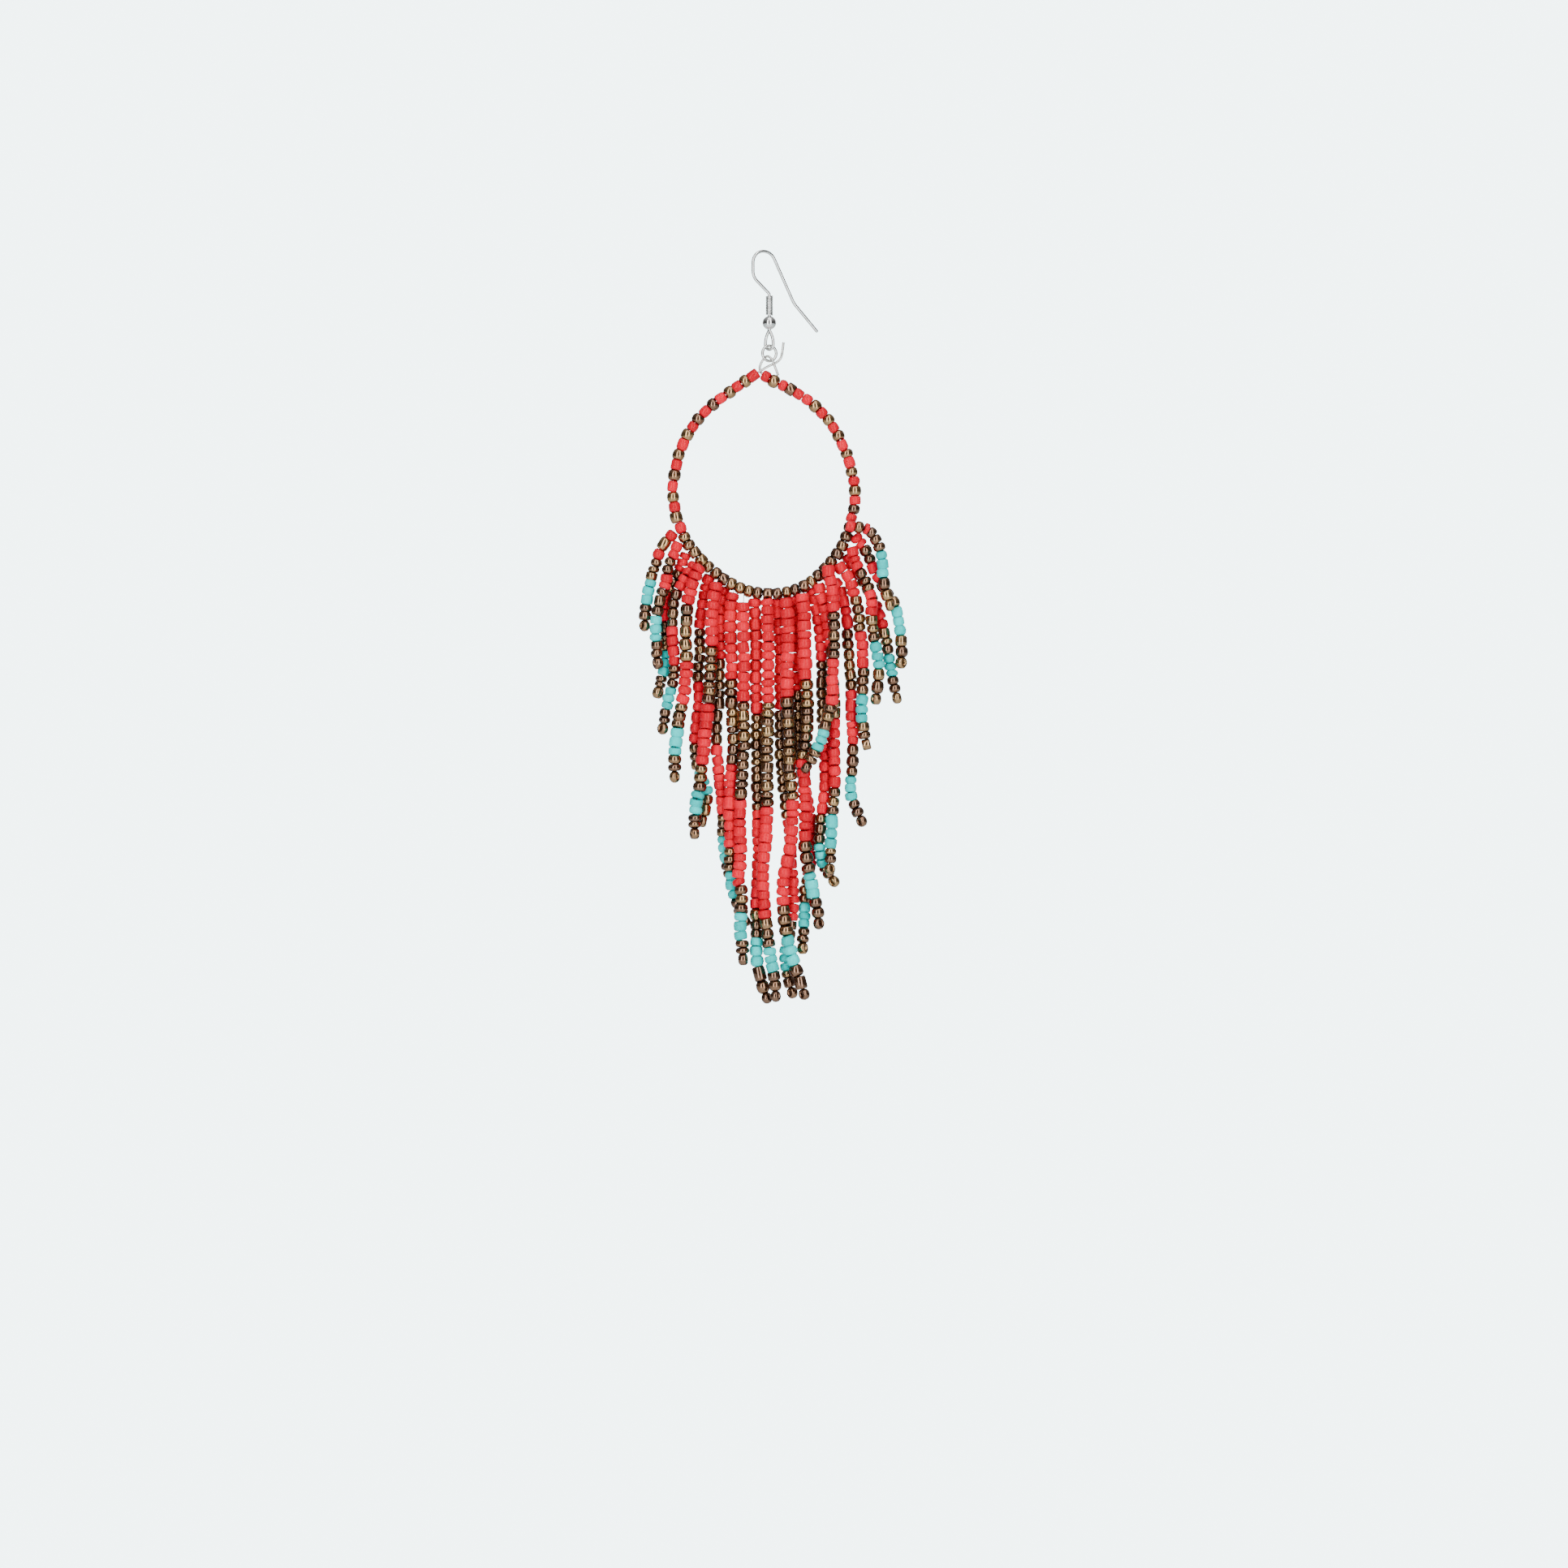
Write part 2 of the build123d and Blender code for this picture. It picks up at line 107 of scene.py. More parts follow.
def softbox(name, place, width, height, watts):
    """A rectangular soft light that faces the hoop's middle."""
    data = bpy.data.lights.new(name, "AREA")
    data.shape = "RECTANGLE"
    data.size = width
    data.size_y = height
    data.energy = watts
    light = bpy.data.objects.new(name, data)
    light.location = place
    light.rotation_euler = (aim - light.location).to_track_quat("-Z", "Y").to_euler()
    bpy.context.scene.collection.objects.link(light)


softbox("left_strip", Vector((-0.56, -1.10, -0.02)), 0.42, 2.8, 22)
softbox("right_strip", Vector((0.52, -1.12, 0.0)), 0.42, 2.8, 22)
softbox("top_light", Vector((0.1, -0.3, 1.1)), 0.9, 0.9, 6)

floor_drop = 0.62
floor_radius = 4.1
floor_mesh = bpy.data.meshes.new("floor")
shape = bmesh.new()
bmesh.ops.create_circle(shape, cap_ends=True, segments=128, radius=floor_radius,
                        matrix=Matrix.Translation((0, 0, -floor_drop)))
shape.to_mesh(floor_mesh)
shape.free()
floor = bpy.data.objects.new("floor", floor_mesh)
bpy.context.scene.collection.objects.link(floor)
floor_paint = bpy.data.materials.new("floor_paint")
floor_paint.use_nodes = True
floor_tree = floor_paint.node_tree
floor_shader = floor_tree.nodes["Principled BSDF"]
floor_shader.inputs["Base Color"].default_value = (0.86, 0.90, 0.90, 1)
floor_shader.inputs["Roughness"].default_value = 0.8
floor_shader.inputs["Emission Color"].default_value = paper_tone
floor_seen = floor_tree.nodes.new("ShaderNodeLightPath")
# The floor looks as bright as the paper behind it, but lights the beads far less.
glow_on_beads = 0.4
glow_seen = 4.0
floor_glow = floor_tree.nodes.new("ShaderNodeMath")
floor_glow.operation = "MULTIPLY_ADD"
floor_glow.inputs[1].default_value = glow_seen
floor_glow.inputs[2].default_value = glow_on_beads
floor_tree.links.new(floor_seen.outputs["Is Camera Ray"], floor_glow.inputs[0])
floor_tree.links.new(floor_glow.outputs["Value"], floor_shader.inputs["Emission Strength"])
floor_mesh.materials.append(floor_paint)


# Ear wire: one round silver wire, bent by hand into the hook, the stem and the drop-shaped eye,
# then tumble polished. Its finish, the slight waviness and rub marks of drawn wire, is shared by
# every silver piece.
def rub_marks():
    """A shader group: colour, roughness and height of polished wire with fine rub marks."""
    group = bpy.data.node_groups.new("rub_marks", "ShaderNodeTree")
    sockets = [
        ("Bright", "INPUT", "Color"), ("Dull", "INPUT", "Color"), ("Smooth", "INPUT", "Float"),
        ("Rough", "INPUT", "Float"), ("Color", "OUTPUT", "Color"), ("Roughness", "OUTPUT", "Float"),
        ("Height", "OUTPUT", "Float"),
    ]
    for name, way, kind in sockets:
        group.interface.new_socket(name, in_out=way, socket_type="NodeSocket" + kind)
    inside = group.nodes
    wire = group.links
    given = inside.new("NodeGroupInput")
    result = inside.new("NodeGroupOutput")
    place = inside.new("ShaderNodeTexCoord")
    clouds = inside.new("ShaderNodeTexNoise")
    clouds.inputs["Scale"].default_value = 900
    clouds.inputs["Detail"].default_value = 4
    marks = inside.new("ShaderNodeTexNoise")
    marks.inputs["Scale"].default_value = 5200
    marks.inputs["Detail"].default_value = 3
    spread = inside.new("ShaderNodeMapRange")
    spread.inputs["From Min"].default_value = 0.42
    spread.inputs["From Max"].default_value = 0.72
    tone = inside.new("ShaderNodeMix")
    tone.data_type = "RGBA"
    gloss = inside.new("ShaderNodeMix")
    wire.new(place.outputs["Object"], clouds.inputs["Vector"])
    wire.new(place.outputs["Object"], marks.inputs["Vector"])
    wire.new(clouds.outputs["Fac"], spread.inputs["Value"])
    wire.new(spread.outputs["Result"], tone.inputs["Factor"])
    wire.new(given.outputs["Bright"], tone.inputs[6])
    wire.new(given.outputs["Dull"], tone.inputs[7])
    wire.new(spread.outputs["Result"], gloss.inputs["Factor"])
    wire.new(given.outputs["Smooth"], gloss.inputs["A"])
    wire.new(given.outputs["Rough"], gloss.inputs["B"])
    wire.new(tone.outputs[2], result.inputs["Color"])
    wire.new(gloss.outputs["Result"], result.inputs["Roughness"])
    wire.new(marks.outputs["Fac"], result.inputs["Height"])
    return group


polish = rub_marks()


def silver(name, bright, dull, smooth, rough):
    """A silver finish: the tones and gloss of its clean and its rubbed places."""
    metal = bpy.data.materials.new(name)
    metal.use_nodes = True
    tree = metal.node_tree
    shader = tree.nodes["Principled BSDF"]
    shader.inputs["Metallic"].default_value = 1.0
    marks = tree.nodes.new("ShaderNodeGroup")
    marks.node_tree = polish
    marks.inputs["Bright"].default_value = (*bright, 1)
    marks.inputs["Dull"].default_value = (*dull, 1)
    marks.inputs["Smooth"].default_value = smooth
    marks.inputs["Rough"].default_value = rough
    bump = tree.nodes.new("ShaderNodeBump")
    bump.inputs["Strength"].default_value = 0.25
    bump.inputs["Distance"].default_value = 0.004 * mm
    tree.links.new(marks.outputs["Color"], shader.inputs["Base Color"])
    tree.links.new(marks.outputs["Roughness"], shader.inputs["Roughness"])
    tree.links.new(marks.outputs["Height"], bump.inputs["Height"])
    tree.links.new(bump.outputs["Normal"], shader.inputs["Normal"])
    return metal


def dress(node, finish):
    """Gives a CAD node's own object its finish."""
    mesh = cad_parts[node].data
    mesh.materials.clear()
    mesh.materials.append(finish)


dress("ear_hook", silver("hook_silver", (0.83, 0.83, 0.82), (0.60, 0.59, 0.57), 0.07, 0.20))

# Coil: thin silver wire wound eleven times round the stem, each turn against the last, so it is
# twelve wires tall. It is darker between the turns, where polish doesn't reach.
coil_top = -7.45
coil_turns = 11
turn_steps = 28
coil_wire = 0.30
coil_radius = 0.50
stem = Vector((0.7039, 0.35865, 0))
coil_shape = bmesh.new()
coil_start = (stem + Vector((coil_radius, 0, coil_top - coil_wire / 2))) * mm
upright = Matrix.Rotation(math.radians(90), 4, "X")
bmesh.ops.create_circle(coil_shape, cap_ends=True, segments=10, radius=coil_wire / 2 * mm,
                        matrix=Matrix.Translation(coil_start) @ upright)
bmesh.ops.spin(coil_shape, geom=coil_shape.faces[:] + coil_shape.edges[:] + coil_shape.verts[:],
               cent=stem * mm, axis=(0, 0, 1), dvec=(0, 0, -coil_wire / turn_steps * mm),
               angle=2 * math.pi * coil_turns, steps=coil_turns * turn_steps, use_duplicate=False)
bmesh.ops.recalc_face_normals(coil_shape, faces=coil_shape.faces[:])


def finished(name, shape, finishes, body, node):
    """Makes the piece's object: smooth faces, its finishes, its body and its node."""
    mesh = bpy.data.meshes.new(name)
    shape.to_mesh(mesh)
    shape.free()
    mesh.shade_smooth()
    for finish in finishes:
        mesh.materials.append(finish)
    piece = bpy.data.objects.new(name, mesh)
    bpy.context.scene.collection.objects.link(piece)
    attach(piece, body)
    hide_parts(node)


coil_silver = silver("coil_silver", (0.80, 0.80, 0.79), (0.42, 0.41, 0.39), 0.10, 0.28)
finished("wound_coil", coil_shape, [coil_silver], "hook", "hook_coil")

# Ball: a drilled silver ball, threaded on the stem and polished all over. It sits between the
# coil and the eye's shoulders.
dress("hook_ball", silver("ball_silver", (0.85, 0.85, 0.84), (0.66, 0.65, 0.63), 0.05, 0.16))

# Ring: plain round silver wire, bent to a circle with its ends butted together. It goes through
# the eye and the hoop's loop.
dress("jump_ring", silver("ring_silver", (0.82, 0.82, 0.80), (0.58, 0.57, 0.54), 0.08, 0.22))

# Hoop wire: thinner wire, left as drawn, whose ends are bent up round the ring. It carries all
# the hoop's beads.
dress("hoop_wire", silver("wire_silver", (0.74, 0.73, 0.70), (0.46, 0.45, 0.42), 0.14, 0.34))

# Beads on the hoop: seed beads cut from drawn glass tube and tumbled round in the kiln, so no two
# are quite alike. Red and bronze take turns down both sides, and 24 bronze ones close the bottom.
# Right and up, from the ear wire's bend.
hoop_left = [
    (-2.86, -22.1), (-6.14, -24.35), (-9.4, -26.7), (-12.2, -29.5), (-14.35, -33.05),
    (-15.7, -36.9), (-16.35, -41.2), (-16.07, -44.8), (-15.3, -47.6),
]
hoop_bottom = [
    (-13.93, -50.9), (-11.4, -54.0), (-8.1, -57.1), (-4.1, -59.3), (0.2, -60.2),
    (4.6, -59.7), (8.3, -57.9), (11.1, -54.9), (13.3, -52.3), (14.5, -49.2),
]
hoop_right = [
    (15.6, -45.6), (15.86, -41.9), (15.2, -37.9), (13.86, -34.2), (11.6, -29.9),
    (8.6, -26.7), (5.0, -24.2), (1.2, -22.55),
]
left_end_last = (-1.71, -0.265, -1.84)
right_end_first = (-1.36, 0.265, -2.27)
ring_bottom = -19.02
hung = Vector((0.0039, stem.y, -0.02))


def from_ring(point):
    """A point of the hoop wire's ends, in millimetres from the ring's lowest point."""
    return (Vector(point) + Vector((stem.x, stem.y, ring_bottom))) * mm


def on_drop(right, back, up):
    """A point of the hoop or of a string, as it hangs from the ring."""
    return (Vector((right, back, up)) + hung) * mm


def curve_mesh(points, resolution, radius=0.0):
    """A smooth curve that the given points steer: a bare line, or a closed tube of this radius."""
    data = bpy.data.curves.new("route", "CURVE")
    data.dimensions = "3D"
    data.resolution_u = resolution
    data.bevel_depth = radius
    data.bevel_resolution = 1
    data.use_fill_caps = radius > 0
    spline = data.splines.new("NURBS")
    spline.points.add(len(points) - 1)
    for knot, place in zip(spline.points, points):
        knot.co = (*place, 1)
    spline.order_u = 3
    spline.use_endpoint_u = True
    guide = bpy.data.objects.new("route", data)
    mesh = bpy.data.meshes.new_from_object(guide)
    bpy.data.objects.remove(guide)
    bpy.data.curves.remove(data)
    return mesh


def smooth_path(points):
    """Places along the smooth curve that the given points steer."""
    line = curve_mesh(points, 16)
    path = [vertex.co.copy() for vertex in line.vertices]
    bpy.data.meshes.remove(line)
    return path


def length_of(path):
    """How long a path is."""
    return sum((b - a).length for a, b in zip(path, path[1:]))


def along(path, distance):
    """The place on a path this far from its start, and the direction there."""
    for a, b in zip(path, path[1:]):
        step = (b - a).length
        if distance <= step:
            break
        distance -= step
    return a + (b - a) * (distance / step), (b - a).normalized()


# One bead's outline from its hole round the outside to the hole again: distance from the axis,
# and distance along it, both of a bead that is 1 in radius and 1 in half length.
bead_outlines = {
    "round": [(0.42, -0.78), (0.68, -1.0), (0.95, -0.62), (1.04, 0.0), (0.95, 0.62), (0.68, 1.0),
              (0.42, 0.78)],
    "barrel": [(0.42, -0.86), (0.78, -1.0), (0.98, -0.68), (1.02, 0.0), (0.98, 0.68), (0.78, 1.0),
               (0.42, 0.86)],
    "cut": [(0.46, -0.92), (0.84, -1.0), (0.98, -0.80), (1.0, 0.0), (0.98, 0.80), (0.84, 1.0),
            (0.46, 0.92)],
}
bead_sides = 12
bead_meshes = {}
for kind, outline in bead_outlines.items():
    bead = bmesh.new()
    rim = [bead.verts.new((away, 0, down)) for away, down in outline]
    edges = [bead.edges.new(pair) for pair in zip(rim, rim[1:] + rim[:1])]
    bmesh.ops.spin(bead, geom=rim + edges, cent=(0, 0, 0), axis=(0, 0, 1), dvec=(0, 0, 0),
                   angle=2 * math.pi, steps=bead_sides, use_merge=True, use_duplicate=False)
    bmesh.ops.remove_doubles(bead, verts=bead.verts[:], dist=0.0001)
    bmesh.ops.recalc_face_normals(bead, faces=bead.faces[:])
    bead.verts.layers.float.new("tint")
    bead_meshes[kind] = bpy.data.meshes.new(kind)
    bead.to_mesh(bead_meshes[kind])
    bead.free()

bead_radius = 1.07
coral = 0
bronze = 1
turquoise = 2
thread = 3
# How often each colour's beads are round, barrel-shaped and cut straight, and how far beads stray
# in width, in tilt (degrees) and in place (millimetres).
bead_kinds = {coral: [2, 6, 2], bronze: [8, 2, 1], turquoise: [4, 5, 1]}
width_spread = 0.05
tilt_spread = 5
sideways_spread = 0.05
depth_spread = 0.04


def add_bead(string, chance, place, direction, half_length, colour, radius=1.0):
    """Threads one bead on a string: kind, size, tilt and tint vary a little from bead to bead."""
    kind = chance.choices(["round", "barrel", "cut"], bead_kinds[colour])[0]
    across = bead_radius * radius * chance.uniform(1 - width_spread, 1 + width_spread) * mm
    tilt = Matrix.Rotation(math.radians(chance.gauss(0, tilt_spread)), 4, "X")
    lean = Matrix.Rotation(math.radians(chance.gauss(0, tilt_spread)), 4, "Y")
    turn = Matrix.Rotation(chance.uniform(0, math.tau), 4, "Z")
    size = Matrix.Diagonal((across, across, half_length, 1))
    aside = Vector((chance.gauss(0, sideways_spread), chance.gauss(0, depth_spread), 0)) * mm
    stand = direction.to_track_quat("Z", "Y").to_matrix().to_4x4()
    old = len(string.verts)
    old_faces = len(string.faces)
    string.from_mesh(bead_meshes[kind])
    string.verts.ensure_lookup_table()
    string.faces.ensure_lookup_table()
    fresh = string.verts[old:]
    moved = Matrix.Translation(place + aside) @ stand @ tilt @ lean @ turn @ size
    bmesh.ops.transform(string, verts=fresh, matrix=moved)
    tint = chance.random()
    layer = string.verts.layers.float["tint"]
    for vert in fresh:
        vert[layer] = tint
    for face in string.faces[old_faces:]:
        face.material_index = colour


def new_string():
    """An empty string that beads are threaded on."""
    string = bmesh.new()
    string.verts.layers.float.new("tint")
    return string


def bead_lengths(chance, count, total, spread):
    """Lengths of the beads of one string, each a little off the others, that fill it."""
    shares = [max(0.6, chance.gauss(1, spread)) for _ in range(count)]
    return [total * share / sum(shares) for share in shares]


def glass(name, low, middle, high, metallic, roughness, coat, coat_ior, reflection):
    """Glossy bead glass whose tone runs from low to high, from bead to bead and within each."""
    stuff = bpy.data.materials.new(name)
    stuff.use_nodes = True
    tree = stuff.node_tree
    shader = tree.nodes["Principled BSDF"]
    shader.inputs["Metallic"].default_value = metallic
    shader.inputs["Coat Weight"].default_value = coat
    shader.inputs["Coat Roughness"].default_value = 0.06
    shader.inputs["Coat IOR"].default_value = coat_ior
    shader.inputs["Specular IOR Level"].default_value = 0.4
    shader.inputs["Specular Tint"].default_value = (*reflection, 1)
    # A bead's own tint sets most of its tone, and the clouds in its glass the rest.
    tint = tree.nodes.new("ShaderNodeAttribute")
    tint.attribute_name = "tint"
    place = tree.nodes.new("ShaderNodeTexCoord")
    cloud = tree.nodes.new("ShaderNodeTexNoise")
    cloud.inputs["Scale"].default_value = 1400
    cloud.inputs["Detail"].default_value = 3
    blend = tree.nodes.new("ShaderNodeMath")
    blend.operation = "MULTIPLY_ADD"
    blend.inputs[1].default_value = 0.35
    ramp = tree.nodes.new("ShaderNodeValToRGB")
    ramp.color_ramp.elements[0].color = (*low, 1)
    ramp.color_ramp.elements[1].color = (*high, 1)
    ramp.color_ramp.elements.new(0.5).color = (*middle, 1)
    shift = tree.nodes.new("ShaderNodeMath")
    shift.operation = "MULTIPLY_ADD"
    shift.inputs[1].default_value = 0.85
    shift.inputs[2].default_value = -0.10
    gloss = tree.nodes.new("ShaderNodeMapRange")
    gloss.inputs["To Min"].default_value = roughness * 0.7
    gloss.inputs["To Max"].default_value = roughness * 1.4
    bump = tree.nodes.new("ShaderNodeBump")
    bump.inputs["Strength"].default_value = 0.15
    bump.inputs["Distance"].default_value = 0.02 * mm
    tree.links.new(place.outputs["Object"], cloud.inputs["Vector"])
    tree.links.new(tint.outputs["Fac"], shift.inputs[0])
    tree.links.new(cloud.outputs["Fac"], blend.inputs[0])
    tree.links.new(shift.outputs["Value"], blend.inputs[2])
    tree.links.new(blend.outputs["Value"], ramp.inputs["Fac"])
    tree.links.new(ramp.outputs["Color"], shader.inputs["Base Color"])
    tree.links.new(cloud.outputs["Fac"], gloss.inputs["Value"])
    tree.links.new(gloss.outputs["Result"], shader.inputs["Roughness"])
    tree.links.new(cloud.outputs["Fac"], bump.inputs["Height"])
    tree.links.new(bump.outputs["Normal"], shader.inputs["Normal"])
    return stuff


coral_glass = glass(
    "coral_glass", low=(0.52, 0.0, 0.013), middle=(0.70, 0.0, 0.020), high=(0.90, 0.0, 0.028),
    metallic=0.0, roughness=0.20, coat=0.04, coat_ior=1.5, reflection=(1.0, 0.30, 0.25))
bronze_glass = glass(
    "bronze_glass", low=(0.12, 0.045, 0.016), middle=(0.22, 0.096, 0.034), high=(0.42, 0.24, 0.080),
    metallic=0.95, roughness=0.15, coat=0.65, coat_ior=1.8, reflection=(0.26, 0.14, 0.08))
turquoise_glass = glass(
    "turquoise_glass", low=(0.0, 0.46, 0.44), middle=(0.0, 0.61, 0.59), high=(0.0, 0.78, 0.76),
    metallic=0.0, roughness=0.24, coat=0.0, coat_ior=1.5, reflection=(0.10, 1.0, 1.0))
thread_nylon = bpy.data.materials.new("thread_nylon")
thread_nylon.use_nodes = True
thread_tree = thread_nylon.node_tree
thread_shader = thread_tree.nodes["Principled BSDF"]
thread_shader.inputs["Roughness"].default_value = 0.55
twist = thread_tree.nodes.new("ShaderNodeTexNoise")
twist.inputs["Scale"].default_value = 9000
fibre = thread_tree.nodes.new("ShaderNodeValToRGB")
fibre.color_ramp.elements[0].color = (0.05, 0.02, 0.015, 1)
fibre.color_ramp.elements[1].color = (0.16, 0.06, 0.04, 1)
thread_place = thread_tree.nodes.new("ShaderNodeTexCoord")
thread_tree.links.new(thread_place.outputs["Object"], twist.inputs["Vector"])
thread_tree.links.new(twist.outputs["Fac"], fibre.inputs["Fac"])
thread_tree.links.new(fibre.outputs["Color"], thread_shader.inputs["Base Color"])
finishes = [coral_glass, bronze_glass, turquoise_glass, thread_nylon]

left_run = [on_drop(right, 0, up) for right, up in hoop_left]
bottom_run = [on_drop(right, 0, up) for right, up in hoop_bottom]
right_run = [on_drop(right, 0, up) for right, up in hoop_right]
left_top = from_ring(left_end_last).lerp(left_run[0], 0.15)
left_join = (left_run[-1] + bottom_run[0]) / 2
right_join = (bottom_run[-1] + right_run[0]) / 2
right_top = from_ring(right_end_first).lerp(right_run[-1], 0.05)
hoop_strings = {
    "beads_left": ("hoop_beads_left", [left_top] + left_run + [left_join],
                   [coral, bronze] * 9 + [coral]),
    "beads_bottom": ("hoop_beads_bottom", [left_join] + bottom_run + [right_join],
                     [bronze] * 24),
    "beads_right": ("hoop_beads_right", [right_join] + right_run + [right_top],
                    [coral, bronze] * 7 + [coral] * 2 + [bronze, coral] * 2),
}
# The hoop's red beads are a little slimmer than its bronze ones.
hoop_widths = {coral: 0.94, bronze: 1.04}
gap_places = []
for number, (name, (node, points, colours)) in enumerate(hoop_strings.items()):
    chance = random.Random(500 + number)
    path = smooth_path(points)
    string = new_string()
    carries_strings = name == "beads_bottom"
    thread_room = 0.08 * mm if carries_strings else 0.0
    spread = 0.05 if carries_strings else 0.10
    lengths = bead_lengths(chance, len(colours), length_of(path) - thread_room, spread)
    done = 0.0
    for colour, length in zip(colours, lengths):
        if carries_strings:
            gap_places.append(along(path, done + thread_room / 2))
        half_length = (length - thread_room) / 2
        place, direction = along(path, done + thread_room + half_length)
        add_bead(string, chance, place, direction, half_length, colour, hoop_widths[colour])
        done += length
    if carries_strings:
        gap_places.append(along(path, done + thread_room / 2))
    finished(name, string, finishes, "drop", node)

